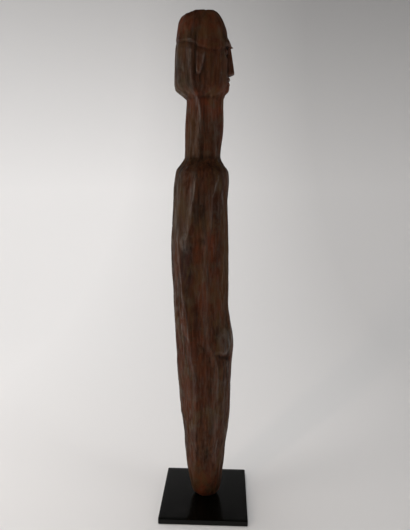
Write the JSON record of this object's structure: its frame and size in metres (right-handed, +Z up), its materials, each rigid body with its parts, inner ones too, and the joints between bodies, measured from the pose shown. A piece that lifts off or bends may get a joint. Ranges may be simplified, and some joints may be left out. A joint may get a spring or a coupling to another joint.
{
  "type": "stake figure",
  "caption": "Carved wooden stake figure with a capped head, long neck and arms held to the body, its blunt point standing on a square black metal base plate.",
  "frame": {"origin": "middle of the base plate's underside", "axes": "+Z up along the figure, -Y the way the figure faces, -X its right side"},
  "size_m": [0.1, 0.1, 0.5455],
  "materials": {
    "carved_wood": "dark reddish-brown patina, rubbed to a soft gloss on the arrises",
    "black_lacquer": "semi-gloss black"
  },
  "bodies": {
    "root": {"carved_figure": "carved_wood", "base_plate": "black_lacquer"}
  },
  "joints": []
}
